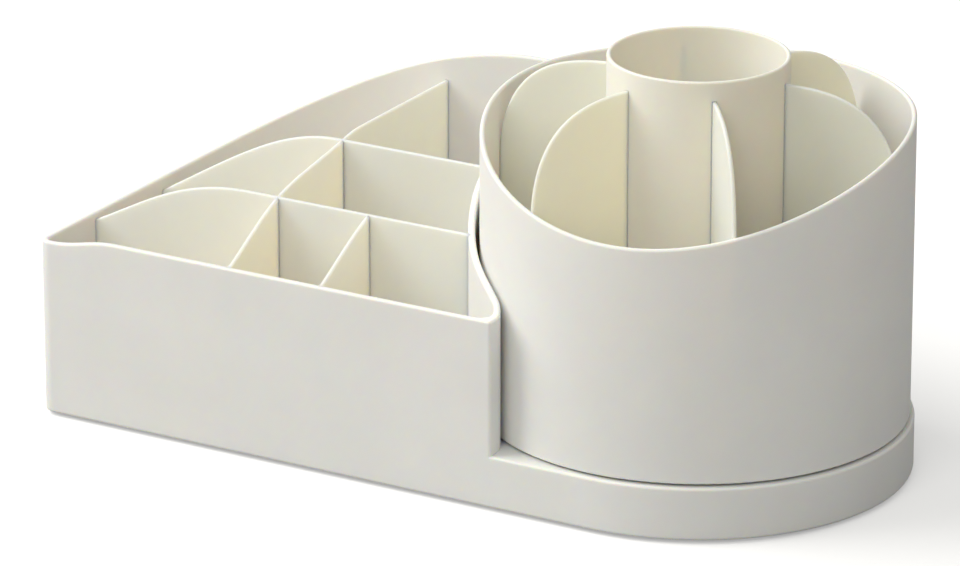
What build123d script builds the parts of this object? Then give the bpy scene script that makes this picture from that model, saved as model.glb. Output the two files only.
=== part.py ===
from build123d import *
import os
from math import ceil, cos, pi, radians, sin, sqrt

# Rotating makeup organizer: a fixed tray with tall dividers, and beside it a round
# drum with six pockets and a centre tube, which turns on a ball race in the plinth.
# Millimetres. +X runs along the straight front wall towards the drum, +Y to the
# back, +Z up. The origin is on the table, under the middle of the outline.

# Outline and heights, the heights counted from the shell's underside
overall_length = 274.0
plinth_radius = 70.0
plinth_height = 17.4
front_height = 62.3
corner_height = 59.1
back_height = 99.3
front_corner_radius = 4.5
back_corner_radius = 70.0
wall = 2.2
tray_floor = 2.2
base_round = 1.2
edge_round = 0.8
plate_round = 0.6
foot_stand = 1.0

# Where the front wall's top dips to the left corner, counted from the corner's arc
dip_lead = 0.5
dip_length = 24.0

# Where the rim climbs round the back corner, as a length along the wall
climb_lead = 1.0
climb_length = 149.0

# Wall that cradles the drum, and the ends of the tray beside it
drum_gap = 1.4
cradle_wall = 2.2
wall_end_offset = 34.8
end_outer_round = 1.0
end_inner_round = 9.5
pocket_tip_round = 4.0
cradle_lead = 1.0
cradle_low_height = 67.2
cradle_quarter_height = 72.6
cradle_half_height = 83.9
cradle_full_height = 94.5

# Plinth: deck, its underside and the cover that closes it
deck = 2.2
race_pad = 1.4
deck_rib = 1.6
deck_rib_depth = 6.0
deck_rib_count = 8
cover_thickness = 2.0
cover_clearance = 0.4
cover_boss_radius = 4.0
cover_screw_circle = 54.0
cover_screw_count = 4
cover_screw_radius = 1.5
cover_screw_length = 10.0
cover_head_radius = 2.8
cover_head_height = 1.4

# Rubber feet, as discs glued into shallow recesses
foot_radius = 6.0
foot_seat = 0.6
foot_clearance = 0.1
foot_inset = 14.0
plinth_foot_circle = 52.0
plinth_foot_angle = 40.0

# Tray dividers: thin plates that drop into grooves and cross in half-laps
plate = 1.4
groove_depth = 0.8
plate_clearance = 0.05
front_divider_y = -38.3
front_divider_height = 77.0
front_arch_start = -76.0
front_arch_mid_height = 71.4
front_arch_end_height = 56.9
back_divider_y = 1.7
back_divider_height = 84.6
back_arch_start = -66.0
back_arch_third_height = 80.1
back_arch_two_thirds_height = 68.6
back_arch_end_height = 54.9
cross_divider_x = -64.8
cross_middle_height = 81.3
cross_level_height = 86.0
cross_level_from = 14.0
short_divider_x = -30.7

# Drum
drum_inset = 1.4
drum_wall = 1.7
drum_lift = 0.8
drum_floor = 3.0
drum_turn = 8.3
rim_height = 117.8
rim_dip = 23.7
rim_level_from = 34.0
tube_radius = 28.9
tube_wall = 1.4
tube_round = 0.6
tube_height = 136.1
fin_count = 6
fin_top = 129.7
fin_end_height = 94.0
fin_groove = 0.5
fin_fullness = 2.5

# Ball race between the plinth and the drum
ball_radius = 2.5
ball_count = 12
ball_circle = 42.0
ball_clearance = 0.06
race_width = 7.0
race_height = 3.0
race_seat = 1.2
race_gap = 1.8
cage_width = 8.0
cage_thickness = 1.2

# Pivot: a spigot under the drum's floor turns in a flanged bush in the deck
spigot_radius = 7.0
running_clearance = 0.05
bush_wall = 2.0
bush_flange = 3.0
bush_flange_height = 1.2
bush_length = 10.2
bush_boss_wall = 3.5
end_play = 0.2
washer_radius = 11.5
washer_height = 1.5
pivot_screw_radius = 2.0
pivot_screw_length = 12.0
pivot_head_radius = 4.0
pivot_head_height = 2.4

# Places worked out from the sizes above
left_x = -overall_length / 2
drum_x = overall_length / 2 - plinth_radius
front_y, back_y = -plinth_radius, plinth_radius
deck_top = foot_stand + plinth_height
deck_under = deck_top - deck
floor_top = foot_stand + tray_floor
shell_top = foot_stand + back_height
drum_radius = plinth_radius - drum_inset
well_radius = drum_radius + drum_gap
cradle_radius = well_radius + cradle_wall
hollow_radius = plinth_radius - wall
wall_end_x = drum_x - wall_end_offset
cover_top = foot_stand + cover_thickness
race_top = deck_top - race_seat + race_height
ball_z = race_top + race_gap / 2
upper_race_under = race_top + race_gap
upper_race_top = upper_race_under + race_height
drum_bottom = deck_top + drum_lift
drum_floor_under = upper_race_top - race_seat
drum_floor_top = drum_floor_under + drum_floor
drum_bore = drum_radius - drum_wall
tube_seat_z = drum_floor_top - fin_groove
bush_bore = spigot_radius + running_clearance
bush_outer = bush_bore + bush_wall
bush_end = deck_top - bush_length
spigot_end = bush_end - end_play
big_centre = (left_x + back_corner_radius, back_y - back_corner_radius)
spare = 20.0


def from_z(shape, z):
    """The shape lifted so that what was drawn at zero starts at z."""
    return Pos(0, 0, z) * shape


def at_drum(shape, z=0.0):
    """The shape moved from the origin to the drum's axis, at height z."""
    return Pos(drum_x, 0, z) * shape


def disc(radius, height, z):
    """A cylinder on the drum's axis that stands on height z."""
    return at_drum(extrude(Circle(radius), height), z)


def ring(outer, inner, height, z):
    """A flat ring on the drum's axis that stands on height z."""
    return at_drum(extrude(Circle(outer) - Circle(inner), height), z)


def around_drum(radius, count, first=0.0):
    """Points evenly spaced on a circle round the drum's axis."""
    angles = [radians(first + 360 * i / count) for i in range(count)]
    return [(drum_x + radius * cos(a), radius * sin(a)) for a in angles]


def group(solids):
    """Several separate solids as one node."""
    return Compound(children=list(solids))


def plan_outline(inset):
    """The organizer's outline from above, moved inwards by inset."""
    left, front, back = left_x + inset, front_y + inset, back_y - inset
    end_r = plinth_radius - inset
    small_r = front_corner_radius - inset
    big_r = back_corner_radius - inset
    small_x, small_y = left + small_r, front + small_r
    big_x, big_y = big_centre
    half = sqrt(0.5)
    small_middle = (small_x - half * small_r, small_y - half * small_r)
    edges = [
        Line((small_x, front), (drum_x, front)),
        ThreePointArc((drum_x, front), (drum_x + end_r, 0), (drum_x, back)),
        Line((drum_x, back), (big_x, back)),
        ThreePointArc((big_x, back), (big_x - half * big_r, big_y + half * big_r), (left, big_y)),
        Line((left, big_y), (left, small_y)),
        ThreePointArc((left, small_y), small_middle, (small_x, front)),
    ]
    return make_face(edges)


def tray_plan(grow=0.0):
    """The tray's inside from above, left of the cradle wall, grown by grow."""
    inside = plan_outline(wall - grow) - Pos(drum_x, 0) * Circle(cradle_radius - grow)
    return inside


def pocket_plan():
    """The tray's inside with its two narrow tips beside the drum rounded off."""
    inside = tray_plan()
    tips = inside.vertices().sort_by(Axis.X)[-2:]
    return fillet(tips, pocket_tip_round)


def climb_height(along):
    """The rim's height at a length along the wall from the back corner's start."""
    share = min(max((along + climb_lead) / climb_length, 0.0), 1.0)
    return corner_height + (back_height - corner_height) * (1 - cos(pi * share)) / 2


def rim_station(along):
    """A point on the outer face at a length along the wall, and the way out there."""
    quarter = back_corner_radius * pi / 2
    x, y = big_centre
    if along <= 0:
        return Vector(left_x, y + along), Vector(-1, 0)
    if along >= quarter:
        return Vector(x + along - quarter, back_y), Vector(0, 1)
    a = along / back_corner_radius
    out = Vector(-cos(a), sin(a))
    return Vector(x, y) + out * back_corner_radius, out


def climb_cutter():
    """What is cut away above the rim where it climbs round the back corner."""
    steps = 12
    sections = []
    for i in range(steps + 1):
        along = -climb_lead + climb_length * i / steps
        point, out = rim_station(along)
        inner, outer = point - out * 3 * wall, point + out * 3 * wall
        low, high = foot_stand + climb_height(along), shell_top + spare
        corners = [(inner.X, inner.Y, low), (outer.X, outer.Y, low)]
        corners += [(outer.X, outer.Y, high), (inner.X, inner.Y, high)]
        sections.append(Face(Wire.make_polygon(corners)))
    return loft(sections)


def front_cutter():
    """What is cut away above the front and left walls, with the dip at the corner."""
    low, level = foot_stand + corner_height, foot_stand + front_height
    dip_x = left_x + front_corner_radius + dip_lead
    level_x = dip_x + dip_length
    right_x = cross_divider_x + spare
    top = shell_top + spare
    profile = [
        Line((left_x - spare, low), (dip_x, low)),
        Spline((dip_x, low), (level_x, level), tangents=[(1, 0), (1, 0)]),
        Line((level_x, level), (right_x, level)),
        Line((right_x, level), (right_x, top)),
        Line((right_x, top), (left_x - spare, top)),
        Line((left_x - spare, top), (left_x - spare, low)),
    ]
    face = Plane((0, front_y - spare, 0), x_dir=(1, 0, 0), z_dir=(0, -1, 0)) * make_face(profile)
    return extrude(face, front_y - spare - big_centre[1] + climb_lead)


def cradle_cutter():
    """What is cut away above the front wall's right part and the cradle wall."""
    points = [
        (front_y + wall + cradle_lead, front_height),
        (front_y + plinth_radius * 0.17, cradle_low_height),
        (front_y + plinth_radius * 0.31, cradle_quarter_height),
        (front_y + plinth_radius * 0.64, cradle_half_height),
        (back_divider_y, cradle_full_height),
        (back_y * 0.5, back_height),
    ]
    curve = Spline([(y, z + foot_stand) for y, z in points], tangents=[(1, 0), (1, 0)])
    start, end = curve @ 0, curve @ 1
    outside, top = front_y - spare, shell_top + spare
    profile = [
        Line((outside, start.Y), start),
        curve,
        Line(end, (end.X, top)),
        Line((end.X, top), (outside, top)),
        Line((outside, top), (outside, start.Y)),
    ]
    low_x = cross_divider_x + spare
    return Pos(low_x, 0, 0) * extrude(Plane.YZ * make_face(profile), wall_end_x + spare - low_x)


def plate_between(centre, size, grow, low, high):
    """An upright plate inside the tray, let into the walls by grow."""
    blank = Pos(*centre) * Rectangle(*size)
    return from_z(extrude(tray_plan(grow) & blank, high - low), low)


def divider_grooves():
    """The grooves for the four plates, in the floor and up the walls to the plates' tops."""
    wide = plate + 2 * plate_clearance
    low, high = floor_top - groove_depth, shell_top
    grooves = []
    for y, area in ((front_divider_y, front_arch()), (back_divider_y, back_arch())):
        blank = plate_between((0, y), (overall_length, wide), groove_depth, low, high)
        grooves.append(blank - long_cutter(y, area, plate_clearance))
    to_divider = front_divider_y - front_y
    for x, y, length in ((cross_divider_x, 0, 2 * plinth_radius), (short_divider_x, front_y, 2 * to_divider)):
        blank = plate_between((x, y), (wide, length), groove_depth, low, high)
        grooves.append(blank - Pos(0, 0, plate_clearance) * cross_cutter())
    return grooves


def feet_places():
    """Where the six feet stand: four under the tray and two under the plinth."""
    diagonal = sqrt(0.5) * (back_corner_radius - foot_inset)
    beside_x = drum_x - cradle_radius + 10.0
    a = radians(plinth_foot_angle)
    plinth_x, aside = drum_x + plinth_foot_circle * cos(a), plinth_foot_circle * sin(a)
    plinth_feet = [(plinth_x, -aside), (plinth_x, aside)]
    tray_feet = [
        (left_x + foot_inset, front_y + foot_inset),
        (big_centre[0] - diagonal, big_centre[1] + diagonal),
        (beside_x, front_y + foot_inset - 2),
        (beside_x, back_y - foot_inset + 2),
    ]
    return tray_feet, plinth_feet


def plinth_underside():
    """The hollow under the deck, less the bosses and ribs that hang in it."""
    hollow = disc(hollow_radius, deck_under - foot_stand, foot_stand)
    pad_outer = ball_circle + race_width / 2 + wall
    pad_inner = ball_circle - race_width / 2 - wall
    kept = [ring(pad_outer, pad_inner, race_pad, deck_under - race_pad)]
    boss_outer = bush_outer + bush_boss_wall
    kept.append(disc(boss_outer, deck_under - bush_end, bush_end))
    for x, y in around_drum(cover_screw_circle, cover_screw_count):
        kept.append(Pos(x, y, cover_top) * extrude(Circle(cover_boss_radius), deck_under - cover_top))
    rib = Pos(hollow_radius / 2, 0, deck_under - deck_rib_depth / 2)
    rib = rib * Box(hollow_radius, deck_rib, deck_rib_depth)
    for i in range(deck_rib_count):
        angle = 360 * (i + 0.5) / deck_rib_count
        kept.append(at_drum(Rot(0, 0, angle) * rib))
    for piece in kept:
        hollow -= piece
    return hollow


def wall_plan():
    """The tray's solid outline above the plinth, ending in two rounded tips."""
    past_end = Pos(wall_end_x + overall_length / 2, 0) * Rectangle(overall_length, 4 * plinth_radius)
    plan = plan_outline(0) - past_end - Pos(drum_x, 0) * Circle(well_radius)
    outer = [v for v in plan.vertices() if v.X > wall_end_x - 0.1 and abs(v.Y) > hollow_radius]
    plan = fillet(outer, end_outer_round)
    inner = [v for v in plan.vertices() if v.X > wall_end_x - 0.1 and abs(v.Y) < hollow_radius]
    return fillet(inner, end_inner_round)


def rim_edges(shell):
    """The upper edges of the walls, not those between two faces of the rim."""
    low = foot_stand + corner_height - 1
    tops = [f for f in shell.faces() if f.bounding_box().min.Z > low and f.normal_at().Z > 0.2]
    edges = [e for f in tops for e in f.edges()]
    return [e for e in edges if sum(e.is_same(other) for other in edges) == 1]


def tray_shell():
    """The one-piece tray: walls, floor, cradle wall and the plinth's deck."""
    base = from_z(extrude(plan_outline(0), plinth_height), foot_stand)
    base = fillet(base.faces().sort_by(Axis.Z)[-1].edges(), edge_round)
    base = fillet(base.faces().sort_by(Axis.Z)[0].edges(), base_round)
    wall_foot = foot_stand + plinth_height / 2
    shell = base + from_z(extrude(wall_plan(), shell_top - wall_foot), wall_foot)
    shell -= from_z(extrude(pocket_plan(), shell_top), floor_top)
    shell -= climb_cutter()
    shell -= front_cutter()
    shell -= cradle_cutter()
    shell = fillet(rim_edges(shell), edge_round)
    for groove in divider_grooves():
        shell -= groove
    shell -= plinth_underside()
    race_outer = ball_circle + race_width / 2
    race_inner = ball_circle - race_width / 2
    shell -= ring(race_outer, race_inner, race_seat + spare, deck_top - race_seat)
    shell -= disc(bush_outer, bush_length + spare, bush_end)
    for x, y in around_drum(cover_screw_circle, cover_screw_count):
        shell -= Pos(x, y, foot_stand) * extrude(Circle(cover_screw_radius), cover_screw_length)
    for x, y in feet_places()[0]:
        shell -= Pos(x, y, foot_stand) * extrude(Circle(foot_radius + foot_clearance), foot_seat)
    return shell


def arch(points, end_slope):
    """The area over a long divider's top edge, drawn with X across and Z up."""
    spline_points = [(x, z + foot_stand) for x, z in points]
    curve = Spline(spline_points, tangents=[(-1, 0), (-1, -end_slope)])
    start, end = curve @ 0, curve @ 1
    left, right, top = left_x - spare, drum_x, shell_top + spare
    edges = [
        curve,
        Line(end, (left, end.Y)),
        Line((left, end.Y), (left, top)),
        Line((left, top), (right, top)),
        Line((right, top), (right, start.Y)),
        Line((right, start.Y), start),
    ]
    return make_face(edges)


def front_arch():
    """The area over the front long divider, which falls to the left wall."""
    end_x = left_x + wall
    run = front_arch_start - end_x
    points = [
        (front_arch_start, front_divider_height),
        (front_arch_start - run / 2, front_arch_mid_height),
        (end_x, front_arch_end_height),
    ]
    return arch(points, 2 * (front_arch_mid_height - front_arch_end_height) / run)


def back_arch():
    """The area over the back long divider, which falls to the left wall."""
    end_x = left_x + wall
    run = back_arch_start - end_x
    points = [
        (back_arch_start, back_divider_height),
        (back_arch_start - run / 3, back_arch_third_height),
        (back_arch_start - 2 * run / 3, back_arch_two_thirds_height),
        (end_x, back_arch_end_height),
    ]
    return arch(points, 3 * (back_arch_two_thirds_height - back_arch_end_height) / run)


def long_cutter(y, area, lift=0.0):
    """What is cut away above a long divider's top edge."""
    return Pos(0, y, lift) * extrude(Plane.XZ * area, spare, both=True)


def rounded_top(body):
    """A plate with its long upper edges rounded."""
    low = foot_stand + front_height / 2
    tops = [f for f in body.faces() if f.center().Z > low and f.normal_at().Z > 0.3]
    edges = [e for f in tops for e in f.edges() if e.length > 2 * plate]
    return fillet(edges, plate_round)


def long_divider(y, level, area):
    """A divider along the tray, with half-laps from below at the cross divider."""
    low = floor_top - groove_depth + plate_clearance
    grow = groove_depth - plate_clearance
    body = plate_between((0, y), (overall_length, plate), grow, low, shell_top)
    body = rounded_top(body - long_cutter(y, area))
    lap = (low + foot_stand + level) / 2
    slot = Pos(cross_divider_x, y, (low + lap) / 2 - spare / 2)
    return body - slot * Box(plate + 2 * plate_clearance, 2 * plate, lap - low + spare)


def front_long_divider():
    return long_divider(front_divider_y, front_divider_height, front_arch())


def back_long_divider():
    return long_divider(back_divider_y, back_divider_height, back_arch())


def cross_top():
    """The top edge of the cross and short dividers, with Y across and Z up."""
    points = [
        (front_y + wall, front_height),
        (front_divider_y, front_divider_height),
        ((front_divider_y + back_divider_y) / 2, cross_middle_height),
        (back_divider_y, back_divider_height),
        (cross_level_from, cross_level_height),
    ]
    return Spline([(y, z + foot_stand) for y, z in points], tangents=[(1, 0.5), (1, 0)])


def cross_cutter():
    """What is cut away above the cross divider and the short divider."""
    curve = cross_top()
    start, end = curve @ 0, curve @ 1
    top = shell_top + spare
    edges = [
        Line((start.X - spare, start.Y), start),
        curve,
        Line(end, (back_y + spare, end.Y)),
        Line((back_y + spare, end.Y), (back_y + spare, top)),
        Line((back_y + spare, top), (start.X - spare, top)),
        Line((start.X - spare, top), (start.X - spare, start.Y)),
    ]
    return extrude(Plane.YZ * make_face(edges), overall_length, both=True)


def cross_divider():
    low = floor_top - groove_depth + plate_clearance
    grow = groove_depth - plate_clearance
    body = plate_between((cross_divider_x, 0), (plate, 4 * plinth_radius), grow, low, shell_top)
    body = rounded_top(body - cross_cutter())
    for y, height in ((front_divider_y, front_divider_height), (back_divider_y, back_divider_height)):
        lap = (low + foot_stand + height) / 2
        slot = Pos(cross_divider_x, y, lap + height / 2)
        body -= slot * Box(2 * plate, plate + 2 * plate_clearance, height)
    return body


def short_divider():
    low = floor_top - groove_depth + plate_clearance
    grow = groove_depth - plate_clearance
    end_y = front_divider_y - plate / 2 - plate_clearance
    length = end_y - front_y
    body = plate_between((short_divider_x, end_y - length / 2), (plate, length), grow, low, shell_top)
    return rounded_top(body - cross_cutter())


def base_cover():
    """The disc that closes the plinth from below, with countersunk screw holes."""
    cover = disc(hollow_radius - cover_clearance, cover_thickness, foot_stand)
    for x, y in around_drum(cover_screw_circle, cover_screw_count):
        cover -= Pos(x, y, foot_stand) * extrude(Circle(cover_screw_radius), cover_thickness)
        cover -= Pos(x, y, foot_stand) * screw_head(cover_head_radius, cover_screw_radius, cover_head_height)
    for x, y in feet_places()[1]:
        cover -= Pos(x, y, foot_stand) * extrude(Circle(foot_radius + foot_clearance), foot_seat)
    return cover


def screw_head(head_radius, shank_radius, height):
    """A countersunk head that widens downwards to the face at zero."""
    return Pos(0, 0, height / 2) * Cone(head_radius, shank_radius, height)


def base_screws():
    screws = []
    for x, y in around_drum(cover_screw_circle, cover_screw_count):
        shank = extrude(Circle(cover_screw_radius), cover_screw_length)
        head = screw_head(cover_head_radius, cover_screw_radius, cover_head_height)
        driver = extrude(Rectangle(0.8, 3.0) + Rectangle(3.0, 0.8), 0.8)
        screws.append(Pos(x, y, foot_stand) * (shank + head - driver))
    return group(screws)


def rubber_feet():
    tray_feet, plinth_feet = feet_places()
    foot = extrude(Circle(foot_radius), foot_stand + foot_seat)
    foot = fillet(foot.faces().sort_by(Axis.Z)[0].edges(), foot_stand / 2)
    return group(Pos(x, y, 0) * foot for x, y in tray_feet + plinth_feet)


def race(z):
    """A flat race ring with a round ball groove, its lower face at z."""
    blank = ring(ball_circle + race_width / 2, ball_circle - race_width / 2, race_height, z)
    return blank - at_drum(Torus(ball_circle, ball_radius + ball_clearance), ball_z)


def ball_cage():
    outer, inner = ball_circle + cage_width / 2, ball_circle - cage_width / 2
    cage = ring(outer, inner, cage_thickness, ball_z - cage_thickness / 2)
    for x, y in around_drum(ball_circle, ball_count):
        hole = Circle(ball_radius + ball_clearance)
        cage -= Pos(x, y, ball_z - cage_thickness) * extrude(hole, 2 * cage_thickness)
    return cage


def bearing_balls():
    return group(Pos(x, y, ball_z) * Sphere(ball_radius) for x, y in around_drum(ball_circle, ball_count))


def pivot_bush():
    """A flanged bush pressed into the deck, in which the drum's spigot turns."""
    body = disc(bush_outer, bush_length, bush_end)
    body += disc(bush_outer + bush_flange, bush_flange_height, deck_top)
    return body - disc(bush_bore, bush_length + spare, bush_end)


def rim_cutter():
    """What is cut away above the drum's rim, drawn with the drum's low side forward."""
    high, low = foot_stand + rim_height, foot_stand + rim_height - rim_dip
    run = rim_level_from + drum_radius
    bend = (run * run + rim_dip * rim_dip) / (2 * rim_dip)
    middle = run / 2
    middle_drop = bend - sqrt(bend * bend - middle * middle)
    arc_middle = (rim_level_from - middle, high - middle_drop)
    arc = ThreePointArc((-drum_radius, low), arc_middle, (rim_level_from, high))
    side = drum_radius + spare
    top = high + spare
    lead_slope = run / (bend - rim_dip)
    lead = (-side, low - spare * lead_slope)
    edges = [
        Line(lead, arc @ 0),
        arc,
        Line(arc @ 1, (side, high)),
        Line((side, high), (side, top)),
        Line((side, top), (-side, top)),
        Line((-side, top), lead),
    ]
    return extrude(Plane.YZ * make_face(edges), 2 * drum_radius, both=True)


def turned(shape):
    """A shape of the drum, drawn facing -Y at the origin, in its place."""
    return at_drum(Rot(0, 0, drum_turn) * shape)


def on_wall_face(edge):
    """Whether all of an edge lies on the inner or the outer face of the drum's wall."""
    radii = [sqrt(p.X**2 + p.Y**2) for p in (edge @ 0, edge @ 0.5, edge @ 1)]
    return any(all(abs(r - face) < 0.01 for r in radii) for face in (drum_bore, drum_radius))


def drum_cup():
    """The turning cup: wall with a scooped rim, floor, and the pivot's spigot."""
    cup = from_z(extrude(Circle(drum_radius), foot_stand + rim_height - drum_bottom), drum_bottom)
    cup -= from_z(extrude(Circle(drum_bore), rim_height), drum_floor_top)
    cup -= from_z(extrude(Circle(drum_bore), drum_floor_under - drum_bottom), drum_bottom)
    cup -= rim_cutter()
    rim = [e for e in cup.edges() if e.bounding_box().min.Z > drum_floor_top + spare]
    rim = [e for e in rim if e.bounding_box().size.Z < rim_dip + 1 and on_wall_face(e)]
    cup = fillet(rim, edge_round)
    cup = fillet(cup.faces().sort_by(Axis.Z)[0].edges().sort_by(SortBy.LENGTH)[-1], edge_round)
    cup += from_z(extrude(Circle(spigot_radius), drum_floor_under - spigot_end), spigot_end)
    cup -= from_z(extrude(Circle(pivot_screw_radius), pivot_screw_length), spigot_end)
    race_outer = Circle(ball_circle + race_width / 2)
    race_inner = Circle(ball_circle - race_width / 2)
    cup -= from_z(extrude(race_outer - race_inner, race_seat), drum_floor_under)
    tube_seat = Circle(tube_radius + plate_clearance) - Circle(tube_radius - tube_wall - plate_clearance)
    cup -= from_z(extrude(tube_seat, fin_groove), tube_seat_z)
    slot = Pos((tube_radius + drum_bore) / 2, 0, tube_seat_z + fin_groove / 2)
    slot = slot * Box(drum_bore - tube_radius, plate + 2 * plate_clearance, fin_groove)
    for angle in fin_angles():
        cup -= Rot(0, 0, angle) * slot
    return turned(cup)


def fin_angles():
    """The fins' directions from +X, spaced evenly about the drum's low side."""
    return [-90 + 360 * (i + 0.5) / fin_count for i in range(fin_count)]


def centre_tube():
    """The tall tube in the middle of the drum, grooved for the fins."""
    height = foot_stand + tube_height - tube_seat_z
    tube = from_z(extrude(Circle(tube_radius) - Circle(tube_radius - tube_wall), height), tube_seat_z)
    tube = fillet(tube.faces().sort_by(Axis.Z)[-1].edges(), tube_round)
    tall = foot_stand + fin_top + plate_clearance - tube_seat_z
    slot = Pos(tube_radius, 0, tube_seat_z + tall / 2)
    slot = slot * Box(2 * fin_groove, plate + 2 * plate_clearance, tall)
    for angle in fin_angles():
        tube -= Rot(0, 0, angle) * slot
    return turned(tube)


def fin_blank():
    """One fin along +X: upright at the tube, its top falling in a full arch to the wall."""
    inner = tube_radius - fin_groove + plate_clearance
    outer = drum_bore - plate_clearance
    low = tube_seat_z + plate_clearance
    high, end = foot_stand + fin_top, foot_stand + fin_end_height
    shoulder = 0.5 ** (1 / fin_fullness)
    middle = (tube_radius + (outer - tube_radius) * shoulder, end + (high - end) * shoulder)
    edges = [
        Line((inner, low), (outer, low)),
        Line((outer, low), (outer, end)),
        Spline((outer, end), middle, (tube_radius, high), tangents=[(0, 1), (-1, 0)]),
        Line((tube_radius, high), (inner, high)),
        Line((inner, high), (inner, low)),
    ]
    blank = extrude(Plane.XZ * make_face(edges), plate / 2, both=True)
    return fillet(blank.edges().filter_by(GeomType.BSPLINE), plate_round)


def retaining_washer():
    washer = disc(washer_radius, washer_height, spigot_end - washer_height)
    return washer - disc(pivot_screw_radius, washer_height, spigot_end - washer_height)


def pivot_screw():
    """A round-headed screw from below that holds the washer on the spigot."""
    under = spigot_end - washer_height
    shank = disc(pivot_screw_radius, washer_height + pivot_screw_length, under)
    head = disc(pivot_head_radius, pivot_head_height, under - pivot_head_height)
    head = fillet(head.faces().sort_by(Axis.Z)[0].edges(), pivot_head_height / 2)
    driver = at_drum(extrude(Rectangle(1.0, 4.4) + Rectangle(4.4, 1.0), 1.2), under - pivot_head_height)
    return shank + head - driver


nodes = {
    "tray_shell": tray_shell(),
    "front_long_divider": front_long_divider(),
    "back_long_divider": back_long_divider(),
    "cross_divider": cross_divider(),
    "short_divider": short_divider(),
    "base_cover": base_cover(),
    "base_screws": base_screws(),
    "rubber_feet": rubber_feet(),
    "lower_race": race(deck_top - race_seat),
    "pivot_bush": pivot_bush(),
    "ball_cage": ball_cage(),
    "bearing_balls": bearing_balls(),
    "drum_cup": drum_cup(),
    "centre_tube": centre_tube(),
    "upper_race": race(upper_race_under),
    "retaining_washer": retaining_washer(),
    "pivot_screw": pivot_screw(),
}
for i, angle in enumerate(fin_angles()):
    nodes[f"drum_fin_{i + 1}"] = turned(Rot(0, 0, angle) * fin_blank())

os.makedirs("parts", exist_ok=True)
for name, shape in nodes.items():
    export_step(shape, f"parts/{name}.step")
    print(name, round(shape.volume, 1))
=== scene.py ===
"""Rotating makeup organizer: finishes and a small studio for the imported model."""

import math

import bpy
from bpy.props import FloatProperty, FloatVectorProperty, PointerProperty
from mathutils import Matrix, Vector


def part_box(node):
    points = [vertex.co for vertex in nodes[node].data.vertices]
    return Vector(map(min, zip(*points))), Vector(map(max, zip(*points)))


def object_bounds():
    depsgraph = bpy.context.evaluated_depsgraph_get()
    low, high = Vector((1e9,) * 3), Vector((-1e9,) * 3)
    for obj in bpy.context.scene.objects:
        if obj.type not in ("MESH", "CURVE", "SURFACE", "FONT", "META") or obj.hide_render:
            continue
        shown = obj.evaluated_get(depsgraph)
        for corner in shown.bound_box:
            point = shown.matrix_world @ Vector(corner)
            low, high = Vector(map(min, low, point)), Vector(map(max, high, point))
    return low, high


bl_info = {
    "name": "Rotating makeup organizer",
    "version": (1, 0, 0),
    "blender": (4, 5, 0),
    "location": "View3D > Sidebar > Organizer",
    "description": "Finishes the organizer's parts and sets up its studio",
    "category": "Object",
}

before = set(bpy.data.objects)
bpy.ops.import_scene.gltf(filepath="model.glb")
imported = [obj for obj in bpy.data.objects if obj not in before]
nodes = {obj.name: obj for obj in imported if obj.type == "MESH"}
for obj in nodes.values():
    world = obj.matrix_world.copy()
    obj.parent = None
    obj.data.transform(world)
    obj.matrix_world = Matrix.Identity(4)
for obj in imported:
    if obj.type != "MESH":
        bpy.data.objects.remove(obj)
load_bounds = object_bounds()

TRAY_WALLS = ["tray_shell", "base_cover"]
DIVIDERS = ["front_long_divider", "back_long_divider", "cross_divider", "short_divider"]
FINS = [name for name in sorted(nodes) if name.startswith("drum_fin")]
RACES = ["lower_race", "upper_race", "pivot_bush"]
STEEL = ["base_screws", "pivot_screw", "retaining_washer"]

race_low, race_high = (Vector(corner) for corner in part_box("lower_race"))
drum_axis = (race_low + race_high) / 2

# Finishes
PLASTIC_IOR = 1.47
BEARING_IOR = 1.48
COLOR_VARIATION = 0.012
SHEEN_VARIATION = 0.05
GLOW_REACH = (1.0, 0.8, 0.5)  # red, green and blue, as shares of the glow's depth
CLOUD_PALENESS = 0.02
SMEAR_PALENESS = 1.5  # as a factor
BLOOM_DULLNESS = 0.85  # as a factor
BLOOM_ROUGHER, BLOOM_SMOOTHER = 0.08, 0.03
DUST_PALENESS = 0.03
BALL_COLOR = (0.75, 0.75, 0.76)
BALL_ROUGHNESS, BALL_SCRATCHES = 0.1, 0.000001
SCREW_ROUGHNESS, SCREW_SCRATCHES = 0.28, 0.000005
NOISE_LOW, NOISE_HIGH = 0.3, 0.7  # most of a noise pattern lies between these
RING_PERIOD = 0.314  # width of one ring in the ring pattern at a scale of 1

# Studio, with places and sizes in metres
KEY_PLACE, KEY_SIZE = (-1.99, -0.74, 2.17), 2.4
FILL_PLACE, FILL_SIZE = (0.41, -2.26, 1.98), 1.6
FLOOR_SIZE = 12.0
FLOOR_DROP = 0.0001  # keeps the floor apart from the undersides of the feet
FLOOR_PAINT = (0.8, 0.8, 0.8, 1.0)
FLOOR_GLOW = 0.35
FLOOR_BOUNCE = (0.45, 0.45, 0.45, 1.0)
SENSOR_WIDTH = 36.0  # millimetres
FAR_CLIP = 100.0


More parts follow.
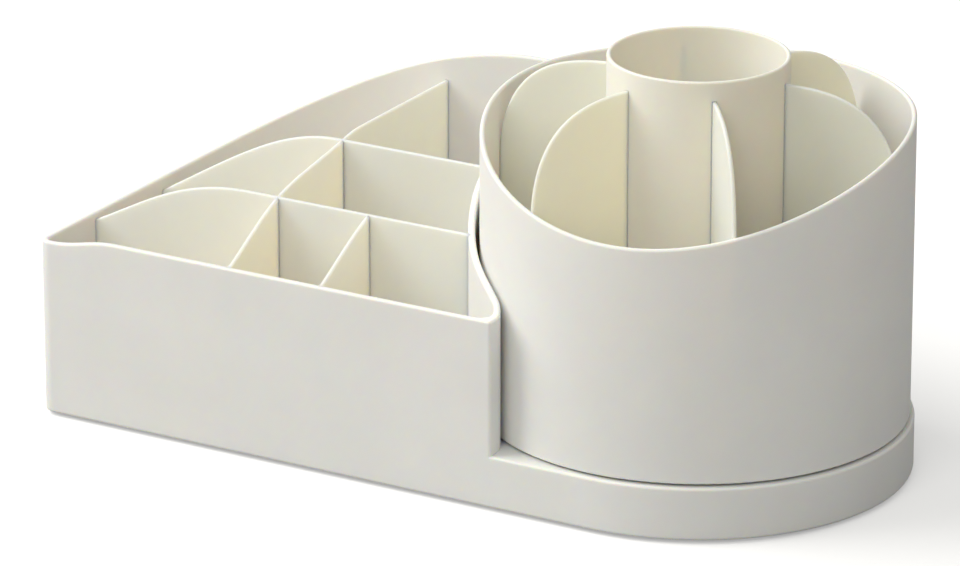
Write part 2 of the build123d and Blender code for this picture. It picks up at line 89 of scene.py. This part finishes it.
class OrganizerFinish(bpy.types.PropertyGroup):
    shell_color: FloatVectorProperty(
        name="Shell colour",
        description="Colour of the tray and the drum's cup",
        default=(0.86, 0.86, 0.835),
        size=3,
        min=0.0,
        max=1.0,
        subtype="COLOR",
    )
    # Warmer and yellower than the shell colour: painted warm bounce light of the shaded
    # pockets, on plates of the same plastic as the shell.
    plate_color_painted_bounce: FloatVectorProperty(
        name="Plate colour",
        description="Colour of the tray's dividers",
        default=(0.97, 0.905, 0.785),
        size=3,
        min=0.0,
        max=1.0,
        subtype="COLOR",
    )
    # Warmer than the shell colour: painted warm bounce light inside the drum, on a tube of
    # the same plastic as the drum's cup.
    tube_color_painted_bounce: FloatVectorProperty(
        name="Tube colour",
        description="Colour of the drum's centre tube",
        default=(0.90, 0.878, 0.80),
        size=3,
        min=0.0,
        max=1.0,
        subtype="COLOR",
    )
    # Warmer than the shell colour, with less blue: painted warm bounce light on the fins'
    # shaded sides, on fins of the same plastic as the shell.
    fin_color_painted_bounce: FloatVectorProperty(
        name="Fin colour",
        description="Colour of the drum's six fins",
        default=(0.925, 0.875, 0.74),
        size=3,
        min=0.0,
        max=1.0,
        subtype="COLOR",
    )
    race_color: FloatVectorProperty(
        name="Race colour",
        description="Colour of the ball race's rings and the pivot's bush",
        default=(0.72, 0.72, 0.69),
        size=3,
        min=0.0,
        max=1.0,
        subtype="COLOR",
    )
    cage_color: FloatVectorProperty(
        name="Cage colour",
        description="Colour of the ring that spaces the balls",
        default=(0.055, 0.055, 0.06),
        size=3,
        min=0.0,
        max=1.0,
        subtype="COLOR",
    )
    steel_color: FloatVectorProperty(
        name="Steel colour",
        description="Colour of the plated screws and the washer",
        default=(0.60, 0.60, 0.61),
        size=3,
        min=0.0,
        max=1.0,
        subtype="COLOR",
    )
    foot_color: FloatVectorProperty(
        name="Foot colour",
        description="Colour of the rubber feet",
        default=(0.035, 0.035, 0.036),
        size=3,
        min=0.0,
        max=1.0,
        subtype="COLOR",
    )
    shell_roughness: FloatProperty(
        name="Shell roughness",
        description="How matt the moulded surface is",
        default=0.6,
        min=0.0,
        max=1.0,
        subtype="FACTOR",
    )
    glow: FloatProperty(
        name="Glow",
        description="How much light the moulded walls let through",
        default=1.0,
        min=0.0,
        max=1.0,
        subtype="FACTOR",
    )
    glow_depth: FloatProperty(
        name="Glow depth",
        description="How far light spreads inside the thick moulded walls",
        default=0.0012,
        min=0.0,
        max=0.02,
        unit="LENGTH",
        precision=5,
    )
    tube_glow_depth: FloatProperty(
        name="Tube glow depth",
        description="How far light spreads inside the tube's wall",
        default=0.0014,
        min=0.0,
        max=0.02,
        unit="LENGTH",
        precision=5,
    )
    plate_glow_depth: FloatProperty(
        name="Plate glow depth",
        description="How far light spreads inside the dividers and fins",
        default=0.005,
        min=0.0,
        max=0.02,
        unit="LENGTH",
        precision=5,
    )
    grain_size: FloatProperty(
        name="Grain size",
        description="Width of one grain of the moulded surface",
        default=0.0006,
        min=0.0001,
        max=0.01,
        unit="LENGTH",
        precision=5,
    )


class OrganizerStage(bpy.types.PropertyGroup):
    camera_place: FloatVectorProperty(
        name="Camera place",
        description="Where the camera stands",
        default=(1.00584, -1.74223, 0.78326),
        size=3,
        subtype="TRANSLATION",
        unit="LENGTH",
    )
    camera_azimuth: FloatProperty(
        name="Camera azimuth",
        description="Turn of the view about the upright axis",
        default=0.528851,
        subtype="ANGLE",
        unit="ROTATION",
    )
    camera_elevation: FloatProperty(
        name="Camera elevation",
        description="How far the view looks down",
        default=0.350259,
        subtype="ANGLE",
        unit="ROTATION",
    )
    lens: FloatProperty(
        name="Lens",
        description="Focal length for a sensor 36 mm wide",
        default=249.39,
        min=10.0,
        max=1000.0,
        unit="CAMERA",
    )
    key_power: FloatProperty(
        name="Key light",
        description="Power of the large light at the left",
        default=80.0,
        min=0.0,
        unit="POWER",
    )
    fill_power: FloatProperty(
        name="Fill light",
        description="Power of the weak light beside the camera",
        default=19.0,
        min=0.0,
        unit="POWER",
    )
    room_light: FloatProperty(
        name="Room light",
        description="Strength of the even light from all round",
        default=0.415,
        min=0.0,
    )
    light_color: FloatVectorProperty(
        name="Light colour",
        description="Colour of the lights and of the room",
        default=(1.0, 0.99, 0.955),
        size=3,
        min=0.0,
        max=1.0,
        subtype="COLOR",
    )


def new_material(name):
    """An empty material with its output and a principled shader, linked."""
    material = bpy.data.materials.new(name)
    material.use_nodes = True
    tree = material.node_tree
    tree.nodes.clear()
    output = tree.nodes.new("ShaderNodeOutputMaterial")
    shader = tree.nodes.new("ShaderNodeBsdfPrincipled")
    tree.links.new(shader.outputs["BSDF"], output.inputs["Surface"])
    return material, tree, shader


def object_noise(tree, size, detail=2.0, roughness=0.5):
    """A noise pattern whose cells are about size metres wide."""
    place = tree.nodes.new("ShaderNodeTexCoord")
    noise = tree.nodes.new("ShaderNodeTexNoise")
    noise.inputs["Scale"].default_value = 1.0 / size
    noise.inputs["Detail"].default_value = detail
    noise.inputs["Roughness"].default_value = roughness
    tree.links.new(place.outputs["Object"], noise.inputs["Vector"])
    return noise.outputs["Fac"]


def ramp_color(tree, factor, low, high, start=0.35, end=0.65):
    """Two colours blended by a pattern."""
    ramp = tree.nodes.new("ShaderNodeValToRGB")
    ramp.color_ramp.elements[0].position = start
    ramp.color_ramp.elements[1].position = end
    ramp.color_ramp.elements[0].color = (*low, 1.0)
    ramp.color_ramp.elements[1].color = (*high, 1.0)
    tree.links.new(factor, ramp.inputs["Fac"])
    return ramp.outputs["Color"]


def ranged(tree, factor, low, high):
    """A pattern turned into values between low and high."""
    spread = tree.nodes.new("ShaderNodeMapRange")
    spread.inputs["From Min"].default_value = NOISE_LOW
    spread.inputs["From Max"].default_value = NOISE_HIGH
    spread.inputs["To Min"].default_value = low
    spread.inputs["To Max"].default_value = high
    tree.links.new(factor, spread.inputs["Value"])
    return spread.outputs["Result"]


def bumped(tree, height, distance, strength, under=None):
    """A bump of a pattern, on top of another bump if there is one."""
    bump = tree.nodes.new("ShaderNodeBump")
    bump.inputs["Distance"].default_value = distance
    bump.inputs["Strength"].default_value = strength
    tree.links.new(height, bump.inputs["Height"])
    if under is not None:
        tree.links.new(under, bump.inputs["Normal"])
    return bump.outputs["Normal"]


def drum_place(tree):
    """The object's coordinates, counted from the drum's axis."""
    place = tree.nodes.new("ShaderNodeTexCoord")
    moved = tree.nodes.new("ShaderNodeMapping")
    moved.inputs["Location"].default_value = (-drum_axis.x, -drum_axis.y, 0.0)
    tree.links.new(place.outputs["Object"], moved.inputs["Vector"])
    return moved.outputs["Vector"]


def turned_rings(tree, spacing, distortion):
    """Rings round the drum's axis, spacing metres apart."""
    rings = tree.nodes.new("ShaderNodeTexWave")
    rings.wave_type = "RINGS"
    rings.rings_direction = "Z"
    rings.inputs["Scale"].default_value = RING_PERIOD / spacing
    rings.inputs["Distortion"].default_value = distortion
    tree.links.new(drum_place(tree), rings.inputs["Vector"])
    return rings.outputs["Fac"]


def moulded_plastic(name, color, glow_depth, finish):
    """Satin moulded plastic: a fine grain on a faintly wavy, slightly milky surface."""
    material, tree, shader = new_material(name)
    low = [max(c - COLOR_VARIATION, 0.0) for c in color]
    high = [min(c + COLOR_VARIATION, 1.0) for c in color]
    cloud = object_noise(tree, size=0.03, detail=3.0)
    tree.links.new(ramp_color(tree, cloud, low, high), shader.inputs["Base Color"])
    patches = object_noise(tree, size=0.012, detail=4.0)
    glossy = finish.shell_roughness - SHEEN_VARIATION
    matt = finish.shell_roughness + SHEEN_VARIATION
    tree.links.new(ranged(tree, patches, glossy, matt), shader.inputs["Roughness"])
    waves = object_noise(tree, size=0.02, detail=1.0)
    wavy = bumped(tree, waves, distance=0.0001, strength=0.25)
    grain = object_noise(tree, finish.grain_size, detail=3.0, roughness=0.6)
    grained = bumped(tree, grain, distance=0.00003, strength=0.35, under=wavy)
    tree.links.new(grained, shader.inputs["Normal"])
    shader.inputs["IOR"].default_value = PLASTIC_IOR
    shader.inputs["Subsurface Weight"].default_value = finish.glow
    shader.inputs["Subsurface Radius"].default_value = GLOW_REACH
    shader.inputs["Subsurface Scale"].default_value = glow_depth
    return material


def bearing_plastic(name, color):
    """Smooth bearing plastic with the faint rings that turning leaves."""
    material, tree, shader = new_material(name)
    cloud = object_noise(tree, size=0.008, detail=3.0)
    pale = [min(c + CLOUD_PALENESS, 1.0) for c in color]
    tree.links.new(ramp_color(tree, cloud, color, pale), shader.inputs["Base Color"])
    rings = turned_rings(tree, spacing=0.0004, distortion=0.4)
    tree.links.new(ranged(tree, rings, low=0.28, high=0.38), shader.inputs["Roughness"])
    ridged = bumped(tree, rings, distance=0.00001, strength=0.3)
    tree.links.new(ridged, shader.inputs["Normal"])
    shader.inputs["IOR"].default_value = BEARING_IOR
    return material


def cage_plastic(name, color):
    """Dark moulded plastic with grease smears from the race."""
    material, tree, shader = new_material(name)
    smears = object_noise(tree, size=0.006, detail=4.0, roughness=0.6)
    pale = [c * SMEAR_PALENESS for c in color]
    tree.links.new(ramp_color(tree, smears, color, pale), shader.inputs["Base Color"])
    tree.links.new(ranged(tree, smears, low=0.5, high=0.25), shader.inputs["Roughness"])
    grain = object_noise(tree, size=0.0004)
    grained = bumped(tree, grain, distance=0.00002, strength=0.4)
    tree.links.new(grained, shader.inputs["Normal"])
    return material


def plated_steel(name, color, roughness, scratch_depth):
    """Plated steel: a patchy bloom and fine scratches."""
    material, tree, shader = new_material(name)
    shader.inputs["Metallic"].default_value = 1.0
    bloom = object_noise(tree, size=0.004, detail=4.0, roughness=0.6)
    dull = [c * BLOOM_DULLNESS for c in color]
    tree.links.new(ramp_color(tree, bloom, dull, color), shader.inputs["Base Color"])
    rougher, smoother = roughness + BLOOM_ROUGHER, roughness - BLOOM_SMOOTHER
    tree.links.new(ranged(tree, bloom, rougher, smoother), shader.inputs["Roughness"])
    scratches = object_noise(tree, size=0.0003, detail=5.0, roughness=0.7)
    scratched = bumped(tree, scratches, scratch_depth, strength=0.4)
    tree.links.new(scratched, shader.inputs["Normal"])
    return material


def foot_rubber(name, color):
    """Matt rubber, a little dusty, with a fine pebbled skin."""
    material, tree, shader = new_material(name)
    dust = object_noise(tree, size=0.003, detail=5.0, roughness=0.65)
    dusty = [c + DUST_PALENESS for c in color]
    dusted = ramp_color(tree, dust, color, dusty, start=0.45, end=0.75)
    tree.links.new(dusted, shader.inputs["Base Color"])
    tree.links.new(ranged(tree, dust, low=0.75, high=0.92), shader.inputs["Roughness"])
    pebbles = object_noise(tree, size=0.0005)
    pebbled = bumped(tree, pebbles, distance=0.00006, strength=0.6)
    tree.links.new(pebbled, shader.inputs["Normal"])
    return material


def dress(names, material):
    """The CAD nodes with their new material."""
    for name in names:
        mesh = nodes[name].data
        mesh.materials.clear()
        mesh.materials.append(material)


class ORGANIZER_OT_tray(bpy.types.Operator):
    """Finish the tray and the plinth's cover"""

    bl_idname = "organizer.tray"
    bl_label = "Tray"

    def execute(self, context):
        finish = context.scene.organizer_finish
        color, depth = finish.shell_color, finish.glow_depth
        dress(TRAY_WALLS, moulded_plastic("tray_satin", color, depth, finish))
        return {"FINISHED"}


class ORGANIZER_OT_dividers(bpy.types.Operator):
    """Finish the four thin plates in the tray"""

    bl_idname = "organizer.dividers"
    bl_label = "Dividers"

    def execute(self, context):
        finish = context.scene.organizer_finish
        # The plates' colour holds painted warm bounce light.
        color, depth = finish.plate_color_painted_bounce, finish.plate_glow_depth
        dress(DIVIDERS, moulded_plastic("plate_satin", color, depth, finish))
        return {"FINISHED"}


class ORGANIZER_OT_drum(bpy.types.Operator):
    """Finish the drum, its tube and its fins"""

    bl_idname = "organizer.drum"
    bl_label = "Drum"

    def execute(self, context):
        finish = context.scene.organizer_finish
        finishes = (
            (["drum_cup"], "drum_satin", finish.shell_color, finish.glow_depth),
            # The tube's colour holds painted warm bounce light.
            (["centre_tube"], "tube_satin", finish.tube_color_painted_bounce, finish.tube_glow_depth),
            # The fins' colour holds painted warm bounce light.
            (FINS, "fin_satin", finish.fin_color_painted_bounce, finish.plate_glow_depth),
        )
        for names, label, color, depth in finishes:
            dress(names, moulded_plastic(label, color, depth, finish))
        return {"FINISHED"}


class ORGANIZER_OT_bearing(bpy.types.Operator):
    """Finish the ball race, its cage and balls, and the pivot's bush"""

    bl_idname = "organizer.bearing"
    bl_label = "Bearing"

    def execute(self, context):
        finish = context.scene.organizer_finish
        dress(RACES, bearing_plastic("race_smooth", finish.race_color))
        dress(["ball_cage"], cage_plastic("cage_greased", finish.cage_color))
        roughness, scratches = BALL_ROUGHNESS, BALL_SCRATCHES
        balls = plated_steel("ball_polished", BALL_COLOR, roughness, scratches)
        dress(["bearing_balls"], balls)
        return {"FINISHED"}


class ORGANIZER_OT_underside(bpy.types.Operator):
    """Finish the screws, the washer and the feet under the organizer"""

    bl_idname = "organizer.underside"
    bl_label = "Underside"

    def execute(self, context):
        finish = context.scene.organizer_finish
        color = finish.steel_color
        screws = plated_steel("screw_plated", color, SCREW_ROUGHNESS, SCREW_SCRATCHES)
        dress(STEEL, screws)
        dress(["rubber_feet"], foot_rubber("foot_rubber", finish.foot_color))
        return {"FINISHED"}


class ORGANIZER_OT_stage(bpy.types.Operator):
    """Set up the floor, the lights and the camera"""

    bl_idname = "organizer.stage"
    bl_label = "Stage"

    def execute(self, context):
        scene = context.scene
        stage = scene.organizer_stage
        make_floor()
        make_room(scene, stage.room_light, stage.light_color)
        low, high = load_bounds
        middle = (Vector(low) + Vector(high)) / 2
        lights = (
            ("key_light", KEY_PLACE, KEY_SIZE, stage.key_power),
            ("fill_light", FILL_PLACE, FILL_SIZE, stage.fill_power),
        )
        for name, place, size, power in lights:
            area_light(name, place, middle, size, power, stage.light_color)
        make_camera(scene, stage)
        scene.view_settings.view_transform = "Standard"
        return {"FINISHED"}


def make_floor():
    """A pale floor, white to the camera, that keeps the soft shadow."""
    bpy.ops.mesh.primitive_plane_add(size=FLOOR_SIZE, location=(0.0, 0.0, -FLOOR_DROP))
    floor = bpy.context.object
    floor.name = "studio_floor"
    material = bpy.data.materials.new("floor_white")
    material.use_nodes = True
    tree = material.node_tree
    tree.nodes.clear()
    output = tree.nodes.new("ShaderNodeOutputMaterial")
    mix = tree.nodes.new("ShaderNodeMixShader")
    path = tree.nodes.new("ShaderNodeLightPath")
    seen = tree.nodes.new("ShaderNodeAddShader")
    paint = tree.nodes.new("ShaderNodeBsdfDiffuse")
    paint.inputs["Color"].default_value = FLOOR_PAINT
    glow = tree.nodes.new("ShaderNodeEmission")
    glow.inputs["Strength"].default_value = FLOOR_GLOW
    matt = tree.nodes.new("ShaderNodeBsdfDiffuse")
    matt.inputs["Color"].default_value = FLOOR_BOUNCE
    tree.links.new(path.outputs["Is Camera Ray"], mix.inputs["Fac"])
    tree.links.new(matt.outputs["BSDF"], mix.inputs[1])
    tree.links.new(paint.outputs["BSDF"], seen.inputs[0])
    tree.links.new(glow.outputs["Emission"], seen.inputs[1])
    tree.links.new(seen.outputs["Shader"], mix.inputs[2])
    tree.links.new(mix.outputs["Shader"], output.inputs["Surface"])
    floor.data.materials.append(material)


def make_room(scene, strength, color):
    """An even room light, and plain white for what the camera sees."""
    world = bpy.data.worlds.new("studio_room")
    scene.world = world
    world.use_nodes = True
    tree = world.node_tree
    tree.nodes.clear()
    output = tree.nodes.new("ShaderNodeOutputWorld")
    mix = tree.nodes.new("ShaderNodeMixShader")
    path = tree.nodes.new("ShaderNodeLightPath")
    room = tree.nodes.new("ShaderNodeBackground")
    room.inputs["Color"].default_value = (*color, 1.0)
    room.inputs["Strength"].default_value = strength
    white = tree.nodes.new("ShaderNodeBackground")
    tree.links.new(path.outputs["Is Camera Ray"], mix.inputs["Fac"])
    tree.links.new(room.outputs["Background"], mix.inputs[1])
    tree.links.new(white.outputs["Background"], mix.inputs[2])
    tree.links.new(mix.outputs["Shader"], output.inputs["Surface"])


def area_light(name, place, target, size, power, color):
    """A square soft light that faces a point."""
    data = bpy.data.lights.new(name, "AREA")
    data.size = size
    data.energy = power
    data.color = color
    light = bpy.data.objects.new(name, data)
    light.location = place
    ray = target - Vector(place)
    light.rotation_euler = ray.to_track_quat("-Z", "Y").to_euler()
    bpy.context.scene.collection.objects.link(light)


def make_camera(scene, stage):
    """The camera at the photograph's place, looking along its azimuth and elevation."""
    data = bpy.data.cameras.new("photo_camera")
    data.sensor_width = SENSOR_WIDTH
    data.lens = stage.lens
    data.clip_end = FAR_CLIP
    camera = bpy.data.objects.new("photo_camera", data)
    turn = Matrix.Rotation(stage.camera_azimuth, 4, "Z")
    tilt = Matrix.Rotation(math.pi / 2 - stage.camera_elevation, 4, "X")
    camera.matrix_world = Matrix.Translation(stage.camera_place) @ turn @ tilt
    scene.collection.objects.link(camera)
    scene.camera = camera


class ORGANIZER_PT_panel(bpy.types.Panel):
    """The organizer's steps and settings"""

    bl_label = "Rotating makeup organizer"
    bl_idname = "ORGANIZER_PT_panel"
    bl_space_type = "VIEW_3D"
    bl_region_type = "UI"
    bl_category = "Organizer"

    def draw(self, context):
        layout = self.layout
        for operator in OPERATORS:
            layout.operator(operator.bl_idname)
        for group in (context.scene.organizer_finish, context.scene.organizer_stage):
            box = layout.box()
            for name in group.bl_rna.properties.keys():
                if name not in {"rna_type", "name"}:
                    box.prop(group, name)


OPERATORS = (
    ORGANIZER_OT_tray,
    ORGANIZER_OT_dividers,
    ORGANIZER_OT_drum,
    ORGANIZER_OT_bearing,
    ORGANIZER_OT_underside,
    ORGANIZER_OT_stage,
)
CLASSES = (OrganizerFinish, OrganizerStage, *OPERATORS, ORGANIZER_PT_panel)


def register():
    for cls in CLASSES:
        bpy.utils.register_class(cls)
    bpy.types.Scene.organizer_finish = PointerProperty(type=OrganizerFinish)
    bpy.types.Scene.organizer_stage = PointerProperty(type=OrganizerStage)


def unregister():
    del bpy.types.Scene.organizer_stage
    del bpy.types.Scene.organizer_finish
    for cls in reversed(CLASSES):
        bpy.utils.unregister_class(cls)


def main():
    register()
    bpy.ops.organizer.tray()
    bpy.ops.organizer.dividers()
    bpy.ops.organizer.drum()
    bpy.ops.organizer.bearing()
    bpy.ops.organizer.underside()
    bpy.ops.organizer.stage()


if __name__ == "__main__":
    main()
